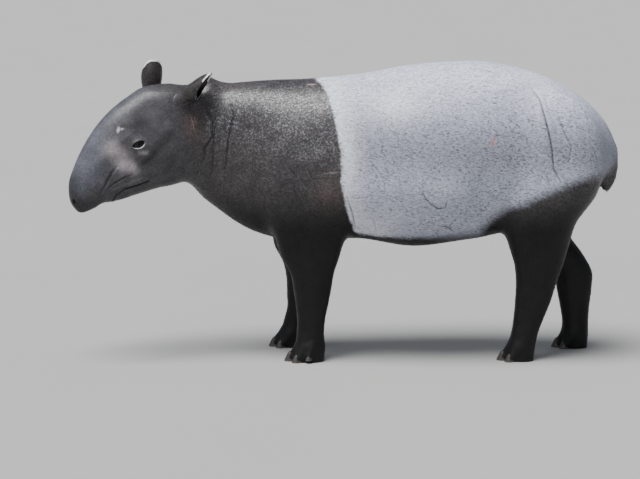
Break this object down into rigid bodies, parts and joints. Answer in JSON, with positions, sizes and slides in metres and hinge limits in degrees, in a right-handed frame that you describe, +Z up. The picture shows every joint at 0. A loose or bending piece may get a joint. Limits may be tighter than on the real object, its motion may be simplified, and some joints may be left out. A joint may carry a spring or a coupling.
{
  "type": "malayan tapir",
  "caption": "Life-size Malayan tapir standing still, its head turned to its left: rounded body with a pale saddle, long drooping nose, cupped ears, short tail and hoofed toes.",
  "frame": {"origin": "on the floor, below the middle of the length and width of the whole animal", "axes": "+X from the nose to the tail, +Y to the animal's right, +Z up; the animal faces -X"},
  "size_m": [1.9717, 0.5556, 1.0826],
  "materials": {
    "dark_hide": "short black hair lying flat, with a soft sheen",
    "pale_hide": "short grey-white hair lying flat; black in front of the saddle and below it",
    "eye": "wet dark brown",
    "hoof": "dull dark horn"
  },
  "bodies": {
    "root": {"tail": "dark_hide", "ear_left": "dark_hide", "ear_right": "dark_hide", "eye_left": "eye", "eye_right": "eye", "hoof_fore_left_1": "hoof", "hoof_fore_left_2": "hoof", "hoof_fore_left_3": "hoof", "hoof_fore_left_4": "hoof", "hoof_fore_right_1": "hoof", "hoof_fore_right_2": "hoof", "hoof_fore_right_3": "hoof", "hoof_fore_right_4": "hoof", "hoof_hind_left_1": "hoof", "hoof_hind_left_2": "hoof", "hoof_hind_left_3": "hoof", "hoof_hind_right_1": "hoof", "hoof_hind_right_2": "hoof", "hoof_hind_right_3": "hoof", "torso": "pale_hide", "neck": "dark_hide", "head": "dark_hide", "snout": "dark_hide", "foreleg_left": "dark_hide", "foreleg_right": "dark_hide", "forefoot_left": "dark_hide", "forefoot_right": "dark_hide", "hindleg_left": "dark_hide", "hindleg_right": "dark_hide", "hindfoot_left": "dark_hide", "hindfoot_right": "dark_hide"}
  },
  "joints": []
}
